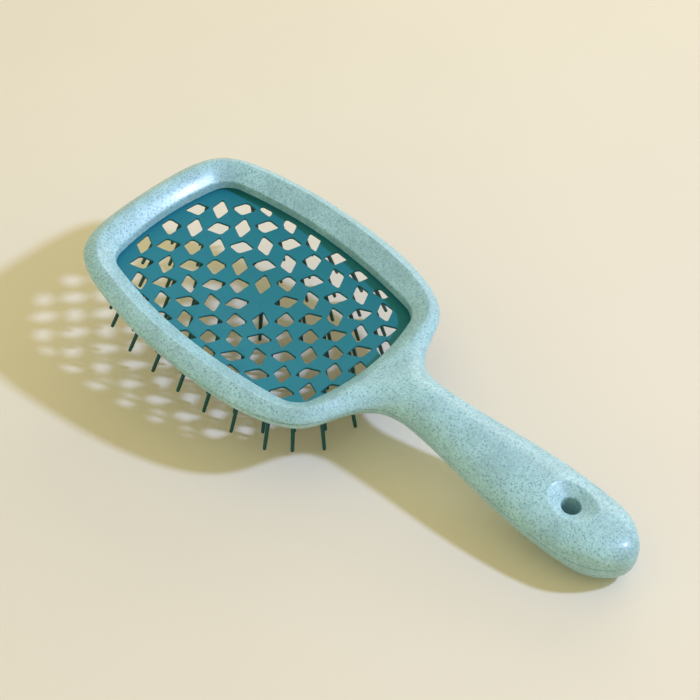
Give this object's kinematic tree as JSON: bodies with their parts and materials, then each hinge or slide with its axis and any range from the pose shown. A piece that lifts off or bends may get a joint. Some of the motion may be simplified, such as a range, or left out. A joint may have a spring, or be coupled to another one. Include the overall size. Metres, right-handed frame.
{
  "type": "vented paddle hairbrush",
  "caption": "Vented paddle hairbrush: two moulded shells form the handle and a window frame that holds a bowed, perforated flexible pad with splayed moulded pins.",
  "frame": {"origin": "tip of the pin in the middle of the pad, the lowest point of the level brush", "axes": "+X from the head to the handle's end, +Y across the head, +Z out of the brush's back"},
  "size_m": [0.2142, 0.0902, 0.0357],
  "materials": {
    "shell_plastic": "glossy, speckled with straw flakes",
    "pad_elastomer": "satin",
    "pin_elastomer": "satin"
  },
  "bodies": {
    "shells": {"back_shell": "shell_plastic", "front_shell": "shell_plastic", "pad_net": "pad_elastomer"},
    "pins": {"pin_bed": "pin_elastomer"}
  },
  "joints": [
    {"name": "pad_give", "type": "slide", "parent": "shells", "child": "pins", "axis": [0, 0, 1], "range_m": [0, 0.0025], "stiffness_N_per_m": 4000, "deforming": ["pad_net"]}
  ]
}
